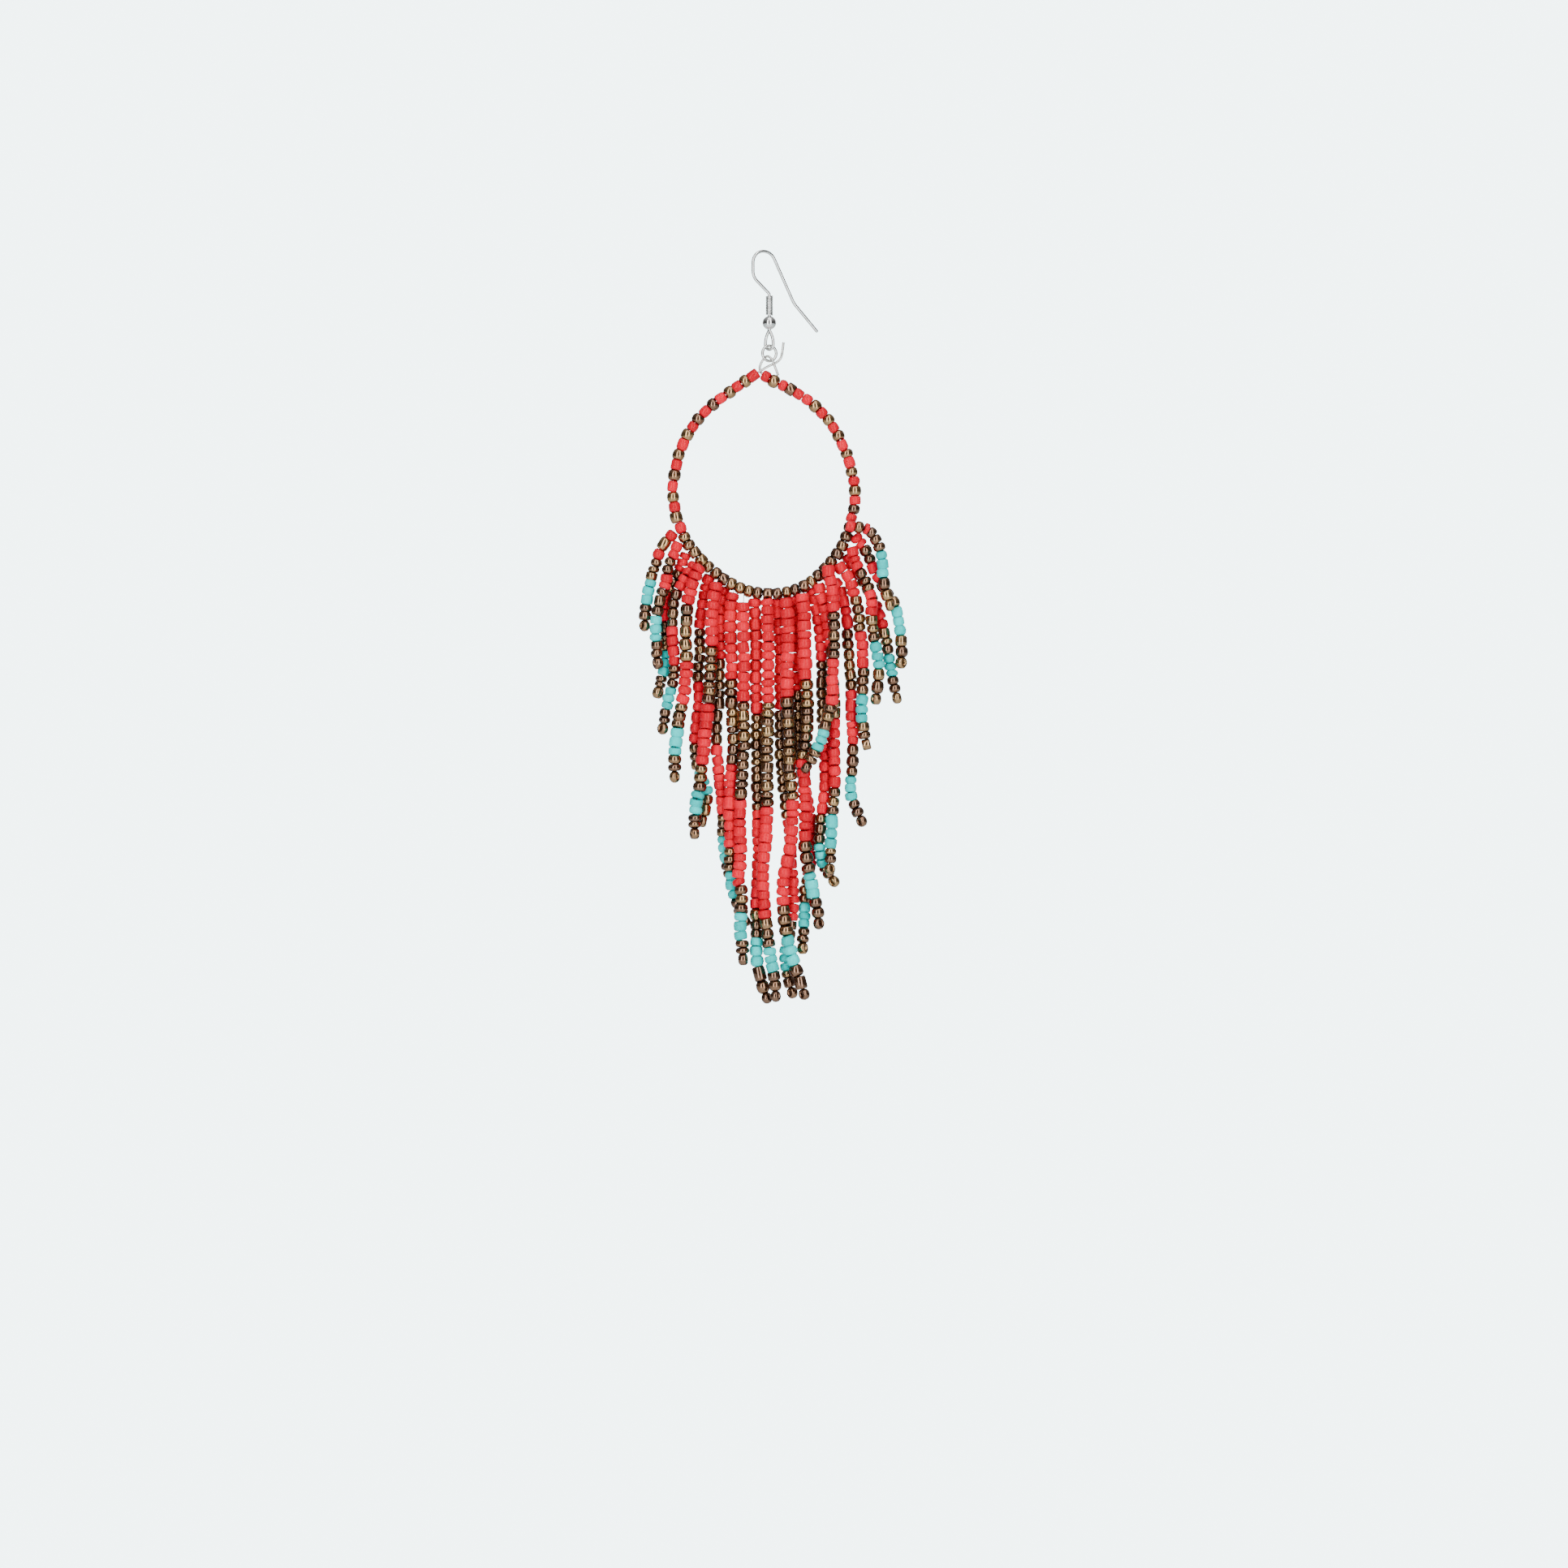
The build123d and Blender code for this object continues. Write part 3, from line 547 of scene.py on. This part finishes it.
# Strings: nylon thread looped over the hoop wire in each gap between the bronze beads. Each runs
# red, bronze, red, then three bronze, three turquoise and three bronze, the last one sideways, as
# the thread goes round it and back up. Right, back and up, from the ear wire's bend.
strand_routes = [
    [(-16.3, 0.1, -49.5), (-17.7, 0.2, -50.8), (-18.9, 0.3, -53.2), (-19.8, 0.3, -56.3),
     (-20.7, 0.3, -59.6), (-21.15, 0.3, -63.2), (-21.3, 0.3, -66.6)],
    [(-15.4, -0.5, -51.3), (-16.3, -0.9, -53.2), (-17.3, -1.0, -55.6), (-17.7, -1.0, -58.8),
     (-18.8, -1.0, -61.8), (-19.4, -1.0, -65.5), (-19.3, -1.0, -69.5), (-18.8, -1.0, -73.2)],
    [(-14.1, 0.8, -53.2), (-14.8, 1.2, -54.9), (-15.9, 1.2, -57.3), (-17.6, 1.2, -60.5),
     (-17.8, 1.2, -64.3), (-17.7, 1.2, -68.3), (-17.3, 1.2, -71.5), (-18.35, 1.2, -75.0),
     (-19.2, 1.2, -78.3)],
    [(-12.6, 0.1, -54.9), (-13.6, -0.3, -56.1), (-14.7, -0.5, -58.1), (-16.0, -0.5, -60.8),
     (-16.4, -0.5, -64.8), (-16.3, -0.5, -69.1), (-15.9, -0.5, -72.6), (-16.4, -0.5, -76.4),
     (-17.7, -0.5, -80.5), (-18.2, -0.5, -84.7)],
    [(-11.6, -1.9, -55.4), (-12.4, -2.0, -57.1), (-13.4, -1.9, -59.9), (-13.8, -1.6, -63.6),
     (-14.1, -1.6, -67.9), (-13.8, -1.6, -72.6), (-14.1, -1.6, -76.6), (-15.0, -1.6, -80.8),
     (-15.7, -1.6, -85.2), (-15.9, -1.6, -89.2), (-16.0, -1.6, -93.2)],
    [(-10.0, 0.8, -57.1), (-10.6, 1.2, -58.9), (-11.1, 1.4, -62.1), (-11.7, 1.4, -65.8),
     (-11.4, 1.4, -69.8), (-12.0, 1.4, -73.8), (-11.5, 1.4, -77.8), (-12.1, 1.4, -82.1),
     (-12.6, 1.5, -86.9), (-11.9, 1.6, -91.2), (-10.0, 1.7, -94.5), (-10.5, 1.6, -97.8),
     (-11.3, 1.5, -101.0)],
    [(-8.6, -0.9, -58.4), (-9.1, -1.0, -60.5), (-9.6, -1.0, -64.3), (-9.3, -1.0, -68.3),
     (-9.7, -1.0, -72.9), (-9.9, -1.0, -77.8), (-10.4, -1.0, -82.9), (-11.0, -1.0, -88.3),
     (-11.4, -1.0, -93.3), (-12.6, -1.0, -98.4), (-12.4, -1.0, -103.2)],
    [(-7.3, 1.4, -59.1), (-7.8, 1.5, -61.5), (-8.1, 1.2, -64.9), (-7.9, 1.2, -69.2),
     (-8.1, 1.2, -73.8), (-8.2, 1.2, -78.6), (-8.7, 1.2, -83.5), (-8.6, 1.2, -88.6),
     (-7.9, 1.6, -93.8), (-7.4, 2.0, -98.9), (-7.5, 2.4, -104.3), (-6.7, 2.7, -108.1),
     (-5.7, 3.1, -111.7)],
    [(-5.7, -0.1, -60.2), (-6.1, -0.2, -62.9), (-6.15, -0.2, -66.6), (-5.9, -0.1, -70.9),
     (-6.0, -0.1, -75.8), (-5.8, 0.0, -80.9), (-5.5, 0.1, -86.3), (-6.0, 0.1, -91.9),
     (-6.3, 0.1, -97.2), (-6.1, 0.3, -102.6), (-6.2, 0.4, -107.8), (-5.7, 0.8, -112.3),
     (-4.6, 1.3, -115.5), (-2.95, 2.1, -118.35)],
    [(-3.8, -1.2, -60.6), (-4.0, -1.3, -63.8), (-3.8, -1.2, -68.3), (-3.7, -1.2, -73.5),
     (-3.85, -1.2, -79.2), (-3.8, -1.3, -84.9), (-3.95, -1.3, -90.6), (-4.4, -1.2, -96.6),
     (-4.5, -1.2, -102.1), (-4.3, -1.4, -107.2), (-4.9, -1.5, -110.1), (-4.0, -1.4, -112.9),
     (-4.5, -1.3, -117.8), (-4.1, -1.2, -121.9), (-3.8, -1.2, -125.3)],
    [(-1.9, 0.3, -61.2), (-1.8, 0.5, -64.6), (-1.5, 0.5, -69.2), (-1.75, 0.5, -74.3),
     (-1.5, 0.5, -80.1), (-1.6, 0.5, -85.8), (-1.4, 0.5, -91.8), (-1.3, 0.6, -97.8),
     (-1.1, 0.8, -103.8), (-1.3, 0.9, -109.5), (-1.6, 0.6, -114.9), (-1.5, 0.4, -119.8),
     (-1.6, 0.4, -124.3), (-0.8, 0.5, -128.3), (0.6, 0.7, -132.1)],
    [(0.3, -1.0, -61.3), (0.35, -1.3, -64.6), (0.65, -1.3, -69.2), (0.4, -1.3, -74.3),
     (0.6, -1.3, -80.1), (0.3, -1.3, -85.8), (0.3, -1.3, -91.8), (0.45, -1.3, -97.5),
     (0.05, -1.3, -103.5), (-0.5, -1.3, -109.5), (-0.15, -1.3, -114.9), (0.3, -1.3, -119.8),
     (1.0, -1.3, -124.3), (1.8, -1.3, -128.1), (1.85, -1.3, -131.8)],
    [(2.0, 0.8, -61.2), (2.3, 1.0, -64.6), (2.65, 1.0, -69.2), (2.55, 1.0, -74.3),
     (2.7, 1.0, -80.1), (2.5, 1.0, -85.8), (2.9, 1.0, -91.8), (3.7, 1.0, -97.5),
     (4.4, 1.1, -103.5), (4.8, 0.9, -109.8), (4.95, 0.9, -115.8), (4.0, 1.1, -121.2),
     (3.2, 1.2, -124.0), (4.0, 1.2, -127.8), (5.0, 1.2, -131.2)],
    [(3.6, -0.9, -61.1), (4.0, -1.1, -64.6), (4.05, -1.1, -69.2), (3.8, -1.1, -74.3),
     (3.9, -1.1, -80.1), (4.2, -1.1, -85.8), (4.2, -1.1, -91.8), (4.95, -1.1, -97.8),
     (4.5, -1.1, -104.0), (3.15, -1.1, -109.8), (3.05, -1.1, -114.9), (3.65, -1.1, -119.8),
     (4.85, -1.1, -124.3), (5.9, -1.1, -127.9), (7.1, -1.1, -131.4)],
    [(5.1, 0.8, -60.8), (5.6, 1.0, -64.3), (5.8, 1.0, -69.2), (5.6, 1.0, -74.3),
     (5.75, 1.0, -80.1), (5.65, 1.2, -85.5), (6.1, 1.8, -90.9), (7.4, 2.3, -96.1),
     (8.3, 2.7, -101.5), (8.15, 2.4, -106.9), (7.0, 2.2, -111.5), (6.9, 2.0, -115.5),
     (6.75, 1.3, -119.5), (6.45, 1.0, -123.4)],
    [(6.5, -1.0, -60.4), (6.9, -1.1, -63.5), (6.95, -1.1, -68.3), (7.1, -1.1, -73.8),
     (7.4, -1.0, -79.5), (7.45, -0.8, -84.6), (6.5, -0.6, -88.9), (7.0, -0.6, -94.3),
     (7.1, -0.7, -100.1), (6.9, -0.8, -105.5), (7.9, -0.8, -109.8), (8.6, -0.8, -113.2),
     (9.3, -0.8, -116.1), (9.5, -0.8, -119.0)],
    [(8.2, 1.2, -59.3), (8.9, 1.4, -62.3), (9.6, 1.5, -66.6), (10.0, 1.5, -71.2),
     (9.9, 1.5, -76.3), (10.1, 1.5, -81.8), (10.4, 1.5, -87.2), (10.6, 1.3, -92.6),
     (10.1, 1.0, -98.1), (9.4, 0.8, -102.9), (9.7, 0.8, -106.6), (10.9, 2.2, -109.2),
     (12.7, 2.6, -111.4)],
    [(9.5, -0.4, -58.6), (10.4, -0.3, -61.5), (11.1, -0.1, -65.5), (11.7, -0.1, -70.1),
     (11.9, -0.1, -75.2), (12.2, -0.1, -80.3), (12.1, -0.1, -85.8), (12.3, -0.1, -91.2),
     (12.1, -0.1, -96.3), (11.6, -0.2, -100.9), (11.5, -0.6, -105.2), (11.35, -0.8, -109.4)],
    [(10.9, 1.2, -56.9), (12.3, 1.4, -57.7), (13.3, 1.5, -59.2), (13.9, 1.6, -61.4),
     (14.4, 1.6, -64.8), (14.5, 1.5, -68.9), (15.1, 1.5, -74.6), (15.1, 1.5, -80.1),
     (15.5, 1.4, -85.2), (15.3, 1.3, -90.3), (14.9, 1.3, -94.6), (15.9, 1.3, -98.1),
     (17.4, 1.3, -100.9)],
    [(11.0, -2.2, -55.5), (11.5, -2.3, -58.1), (12.1, -2.3, -61.5), (12.0, -2.3, -65.8),
     (12.15, -2.3, -70.1), (11.7, -2.3, -74.6), (12.0, -2.3, -78.3), (10.9, -2.4, -82.2),
     (9.9, -2.6, -85.5), (8.5, -2.8, -88.6), (6.8, -2.9, -91.5)],
    [(12.9, -0.1, -55.1), (14.4, 0.0, -56.8), (15.4, 0.1, -59.1), (16.3, 0.1, -62.3),
     (16.6, 0.3, -66.2), (17.1, 0.5, -69.8), (17.2, 0.2, -73.8), (17.1, 0.0, -77.8),
     (16.85, 0.0, -81.5), (17.4, 0.0, -84.5), (17.9, 0.0, -87.5)],
    [(14.4, 1.4, -53.4), (15.3, 1.6, -54.8), (16.7, 1.6, -56.9), (18.0, 1.6, -59.3),
     (19.2, 1.5, -61.5), (20.4, 1.2, -64.2), (21.3, 1.1, -67.9), (21.9, 1.3, -72.0),
     (22.6, 1.3, -75.8), (23.4, 1.1, -79.3)],
    [(15.3, -0.5, -52.2), (15.8, -0.6, -54.2), (17.0, -0.6, -56.6), (18.3, -0.6, -58.9),
     (18.8, -0.6, -61.6), (18.6, -0.6, -64.3), (19.0, -0.6, -67.5), (19.6, -0.6, -70.6),
     (20.1, -0.6, -73.5), (19.8, -0.6, -76.6), (19.3, -0.6, -79.5)],
    [(15.9, 0.2, -50.0), (17.1, 0.2, -51.4), (18.2, 0.2, -53.4), (19.3, 0.2, -56.2),
     (20.9, 0.2, -59.1), (22.9, 0.2, -61.6), (23.6, 0.2, -65.0), (24.0, 0.1, -69.2),
     (23.9, 0.0, -73.1)],
    [(14.7, -2.2, -48.1), (16.4, -2.25, -48.3), (18.2, -2.2, -48.7), (19.6, -2.1, -50.5),
     (20.5, -2.0, -53.4), (20.7, -2.0, -56.9), (21.2, -2.0, -60.1), (22.2, -2.0, -63.0)],
]
red_counts = [1, 2, 3, 4, 5, 6, 7, 8, 9, 10, 11, 12, 12, 11, 10, 9, 8, 7, 6, 5, 4, 3, 3, 2, 1]
# How high each string's colours end, a row for each string: red, bronze, red, bronze, turquoise.
# The last bronze beads go on to the string's end.
colour_ends = [
    (-50.3, -52.2, -53.9, -57.5, -61.8),
    (-53.8, -56.5, -59.1, -63.9, -68.3),
    (-55.9, -59.6, -64.8, -70.0, -74.4),
    (-59.3, -65.8, -72.6, -76.5, -80.2),
    (-61.8, -72.0, -79.3, -83.6, -88.3),
    (-66.1, -75.5, -86.2, -90.9, -95.3),
    (-69.2, -79.3, -90.1, -94.8, -98.8),
    (-71.5, -86.6, -98.8, -102.6, -107.3),
    (-75.1, -90.0, -104.7, -108.8, -113.6),
    (-79.0, -96.2, -111.3, -116.1, -120.9),
    (-81.1, -98.1, -115.4, -120.6, -125.6),
    (-79.1, -97.5, -117.1, -122.2, -126.5),
    (-80.5, -99.6, -117.6, -122.2, -126.3),
    (-78.1, -96.3, -114.8, -120.1, -125.3),
    (-77.0, -94.1, -109.8, -114.5, -118.8),
    (-75.1, -89.2, -103.4, -109.1, -113.5),
    (-71.8, -84.2, -98.8, -104.0, -107.9),
    (-69.2, -81.9, -94.1, -98.9, -104.8),
    (-66.2, -76.9, -86.5, -92.1, -96.3),
    (-63.2, -71.5, -79.5, -84.0, -87.5),
    (-60.4, -66.6, -73.1, -77.8, -82.6),
    (-57.2, -61.5, -66.1, -70.6, -74.5),
    (-55.7, -59.5, -63.8, -68.5, -73.1),
    (-51.6, -54.6, -57.8, -62.3, -67.3),
    (-48.24, -48.50, -48.84, -52.49, -57.13),
]
# Strings of thicker or thinner beads, as a share of the others.
widths = {
    3: 0.97, 4: 0.97, 5: 1.10, 7: 1.10, 9: 1.10, 10: 1.09, 11: 1.08, 12: 1.08, 14: 1.12, 16: 1.12,
    20: 1.04, 21: 1.04,
}
# Where the first bead begins, in millimetres down the string: drawn up against the hoop, apart
# from one string that hangs lower.
usual_start = -0.45
starts = {10: 0.9}
length_spread = 0.13
bead_share = 0.99
stop_room = 1.0 * mm
stop_half_length = 0.72 * mm
thread_radius = 0.07 * mm
loop_reach = 0.3 * mm


def add_thread(string, points):
    """Runs the thread through the given places of a string."""
    tube = curve_mesh(points, 4, thread_radius)
    old = len(string.faces)
    string.from_mesh(tube)
    string.faces.ensure_lookup_table()
    for face in string.faces[old:]:
        face.material_index = thread
    bpy.data.meshes.remove(tube)


def down_to(path, height):
    """How far along a path it first comes down to a height."""
    distance = 0.0
    for a, b in zip(path, path[1:]):
        if b.z <= height:
            return distance + (b - a).length * (a.z - height) / (a.z - b.z)
        distance += (b - a).length
    return distance


for number, (measured, count, heights) in enumerate(zip(strand_routes, red_counts, colour_ends), 1):
    chance = random.Random(number)
    points = [on_drop(*point) for point in measured]
    path = smooth_path(points)
    string = new_string()
    done = starts.get(number, usual_start) * mm
    ends = [down_to(path, on_drop(0, 0, height).z) for height in heights]
    ends.append(length_of(path) - stop_room * 2)
    bands = zip([coral, bronze, coral, bronze, turquoise, bronze], [count] * 3 + [3, 3, 2], ends)
    for colour, beads, end in bands:
        for length in bead_lengths(chance, beads, end - done, length_spread):
            place, direction = along(path, done + length / 2)
            half_length = length / 2 * bead_share
            width = widths.get(number, 1.0)
            add_bead(string, chance, place, direction, half_length, colour, width)
            done += length
    place, direction = along(path, done + stop_room)
    faced = Vector((chance.uniform(-1, 1), chance.choice([-1, 1]), 0)).normalized()
    level = direction.cross(faced).normalized()
    add_bead(string, chance, place, level, stop_half_length, bronze, 0.98)
    gap, run = gap_places[number - 1]
    over = Vector((0, -1, 0)).cross(run).normalized() * loop_reach
    side = Vector((0, loop_reach, 0))
    near = [gap - over - side, gap - side, gap + over - side]
    far = [gap + over + side, gap + side, gap - over + side]
    add_thread(string, [path[0]] + near + far + [path[0]])
    add_thread(string, points)
    label = f"{number:02d}"
    finished("string_" + label, string, finishes, "drop", "strand_" + label)

for spare in bead_meshes.values():
    bpy.data.meshes.remove(spare)
